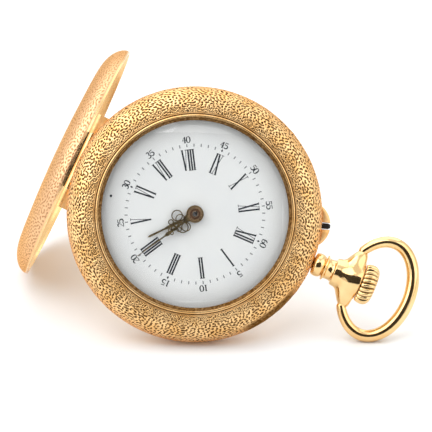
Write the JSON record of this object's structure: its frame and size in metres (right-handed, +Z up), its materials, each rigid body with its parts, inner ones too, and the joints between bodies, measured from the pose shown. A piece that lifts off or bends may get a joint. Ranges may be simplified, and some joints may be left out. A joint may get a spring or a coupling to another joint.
{
  "type": "open-face pendant watch",
  "caption": "Gold open-face pendant watch with a hinged back opened, a bow, a ribbed crown, an enamel dial and a key-less lever-set movement.",
  "frame": {"origin": "centre of the footprint on the ground, under the middle of the overall box", "axes": "+X from the bow's side to the opened cover's side along the watch's length, +Y away from the viewer of the dial, +Z up"},
  "size_m": [0.0511, 0.0416, 0.03],
  "materials": {
    "gold": "polished, with a fine bark texture engraved on the bezel and covers",
    "glass": "clear and polished",
    "enamel": "glossy white enamel with black painted numerals",
    "dark_brass": "darkened gilt hands, pierced",
    "black_steel": "blackened and polished",
    "gilt": "gilded, fine matt grain",
    "steel": "polished",
    "blued_steel": "polished and blued",
    "ruby": "polished synthetic ruby"
  },
  "bodies": {
    "case": {"case_band": "gold", "front_bezel": "gold", "crystal": "glass", "pendant": "gold", "set_pin_guard": "gold", "back_hinge_pin": "steel", "dust_hinge_pin": "steel", "yoke_spring": "steel", "dial": "enamel", "dial_screws": "steel", "mainplate": "gilt", "barrel_bridge": "gilt", "train_bridge": "gilt", "escape_cock": "gilt", "balance_cock": "gilt", "bridge_screws": "blued_steel", "case_screws": "steel", "train_jewels": "ruby", "balance_jewels": "ruby", "endstone_cap": "steel", "crown_wheel_screw": "steel", "click_screw": "blued_steel", "click_spring": "steel", "hairspring": "blued_steel", "hairspring_stud": "steel"},
    "back_cover": {"back_cover": "gold"},
    "dust_cover": {"dust_cover": "gold"},
    "bow": {"bow": "gold"},
    "stem": {"crown": "gold", "winding_stem": "steel"},
    "winding_pinion": {"winding_pinion": "steel"},
    "clutch": {"clutch_wheel": "steel"},
    "crown_wheel": {"crown_wheel": "steel"},
    "ratchet": {"barrel_arbor": "steel", "ratchet_wheel": "steel", "ratchet_screw": "steel"},
    "set_pin": {"set_pin": "black_steel"},
    "yoke": {"yoke": "steel"},
    "click": {"click": "steel"},
    "cannon": {"cannon_pinion": "steel", "minute_hand": "dark_brass"},
    "hour": {"hour_wheel": "gilt", "hour_hand": "dark_brass"},
    "minute_wheel": {"minute_wheel": "gilt"},
    "setting_wheel": {"setting_wheel": "steel"},
    "fourth": {"fourth_wheel": "gilt"},
    "escape": {"escape_wheel": "steel"},
    "third": {"third_wheel": "gilt"},
    "centre": {"centre_wheel": "gilt"},
    "barrel": {"barrel": "gilt", "barrel_lid": "gilt", "mainspring": "steel"},
    "balance": {"balance_wheel": "gilt", "balance_staff": "steel"},
    "regulator": {"regulator": "steel"}
  },
  "joints": [
    {"name": "back_cover_hinge", "type": "hinge", "parent": "case", "child": "back_cover", "pos_m": [-0.01721, -0.00951, 0.02087], "axis": [-0.4241, -0.3582, -0.8318], "range_deg": [0, 89]},
    {"name": "dust_cover_hinge", "type": "hinge", "parent": "case", "child": "dust_cover", "pos_m": [-0.01644, -0.00924, 0.02036], "axis": [-0.4241, -0.3582, -0.8318], "range_deg": [-75, 0]},
    {"name": "bow_swing", "type": "hinge", "parent": "case", "child": "bow", "pos_m": [0.01685, -0.01555, 0.00736], "axis": [-0.3793, -0.3659, -0.8498], "range_deg": [-135, 135]},
    {"name": "crown_turn", "type": "hinge", "parent": "case", "child": "stem", "pos_m": [0.01685, -0.01555, 0.00736], "axis": [0.9253, -0.15, -0.3484], "continuous": true},
    {"name": "winding_pinion_turn", "type": "hinge", "parent": "case", "child": "winding_pinion", "pos_m": [0.0063, -0.01384, 0.01133], "axis": [0.9253, -0.15, -0.3484], "continuous": true},
    {"name": "crown_wheel_turn", "type": "hinge", "parent": "case", "child": "crown_wheel", "pos_m": [0.004, -0.01163, 0.01141], "axis": [0, -0.9185, 0.3955], "continuous": true},
    {"name": "ratchet_turn", "type": "hinge", "parent": "case", "child": "ratchet", "pos_m": [0.00216, -0.0092, 0.01704], "axis": [0, -0.9185, 0.3955], "continuous": true},
    {"name": "set_pin_push", "type": "slide", "parent": "case", "child": "set_pin", "axis": [-0.9957, 0.0365, 0.0847], "range_m": [0, 0.00045], "stiffness_N_per_m": 1200, "springref_m": -0.0002},
    {"name": "yoke_swing", "type": "hinge", "parent": "case", "child": "yoke", "pos_m": [0.00844, -0.01246, 0.01755], "axis": [0, 0.9185, -0.3955], "range_deg": [0, 7.37], "deforming": ["yoke_spring"]},
    {"name": "clutch_slide", "type": "slide", "parent": "stem", "child": "clutch", "axis": [-0.9253, 0.15, 0.3484], "range_m": [0, 0.0008484]},
    {"name": "click_swing", "type": "hinge", "parent": "case", "child": "click", "pos_m": [0.00191, -0.00683, 0.02178], "axis": [0, -0.9185, 0.3955], "range_deg": [0, 8], "stiffness_Nm_per_rad": 0.0002, "springref_deg": -5.73, "deforming": ["click_spring"]},
    {"name": "minute_hand_turn", "type": "hinge", "parent": "case", "child": "cannon", "pos_m": [-0.00295, -0.01362, 0.01537], "axis": [0, 0.9185, -0.3955], "continuous": true},
    {"name": "hour_hand_turn", "type": "hinge", "parent": "case", "child": "hour", "pos_m": [-0.00295, -0.01381, 0.01545], "axis": [0, 0.9185, -0.3955], "continuous": true},
    {"name": "minute_wheel_turn", "type": "hinge", "parent": "case", "child": "minute_wheel", "pos_m": [-0.00121, -0.01431, 0.01351], "axis": [0, 0.9185, -0.3955], "continuous": true},
    {"name": "setting_wheel_turn", "type": "hinge", "parent": "case", "child": "setting_wheel", "pos_m": [0.00209, -0.01416, 0.01335], "axis": [0, 0.9185, -0.3955], "continuous": true},
    {"name": "fourth_wheel_turn", "type": "hinge", "parent": "case", "child": "fourth", "pos_m": [-0.00673, -0.01345, 0.01071], "axis": [0, -0.9185, 0.3955], "continuous": true},
    {"name": "escape_wheel_turn", "type": "hinge", "parent": "case", "child": "escape", "pos_m": [-0.00919, -0.01239, 0.01316], "axis": [0, -0.9185, 0.3955], "continuous": true},
    {"name": "third_wheel_turn", "type": "hinge", "parent": "case", "child": "third", "pos_m": [-0.00273, -0.01365, 0.01024], "axis": [0, -0.9185, 0.3955], "continuous": true},
    {"name": "centre_wheel_turn", "type": "hinge", "parent": "case", "child": "centre", "pos_m": [-0.00295, -0.01179, 0.01458], "axis": [0, -0.9185, 0.3955], "continuous": true},
    {"name": "barrel_turn", "type": "hinge", "parent": "case", "child": "barrel", "pos_m": [0.00216, -0.01049, 0.01759], "axis": [0, -0.9185, 0.3955], "continuous": true},
    {"name": "balance_swing", "type": "hinge", "parent": "case", "child": "balance", "pos_m": [-0.01024, -0.01067, 0.01513], "axis": [0, -0.9185, 0.3955], "range_deg": [-135, 135], "stiffness_Nm_per_rad": 0.00000057, "deforming": ["hairspring"]},
    {"name": "regulator_turn", "type": "hinge", "parent": "case", "child": "regulator", "pos_m": [-0.01024, -0.00966, 0.0147], "axis": [0, -0.9185, 0.3955], "range_deg": [-20, 20]}
  ],
  "couplings": [
    {"joint": "winding_pinion_turn", "follows": "crown_turn", "ratio": 1},
    {"joint": "crown_wheel_turn", "follows": "crown_turn", "ratio": 0.53846},
    {"joint": "ratchet_turn", "follows": "crown_turn", "ratio": -0.36842},
    {"joint": "yoke_swing", "follows": "set_pin_push", "rad_per_m": 285.32},
    {"joint": "clutch_slide", "follows": "set_pin_push", "ratio": 1.8831},
    {"joint": "hour_hand_turn", "follows": "minute_hand_turn", "ratio": 0.083333},
    {"joint": "minute_wheel_turn", "follows": "minute_hand_turn", "ratio": -0.33333},
    {"joint": "setting_wheel_turn", "follows": "minute_hand_turn", "ratio": 0.5},
    {"joint": "escape_wheel_turn", "follows": "fourth_wheel_turn", "ratio": -10},
    {"joint": "third_wheel_turn", "follows": "fourth_wheel_turn", "ratio": -0.13333},
    {"joint": "centre_wheel_turn", "follows": "fourth_wheel_turn", "ratio": 0.016667},
    {"joint": "barrel_turn", "follows": "fourth_wheel_turn", "ratio": -0.0020833}
  ]
}
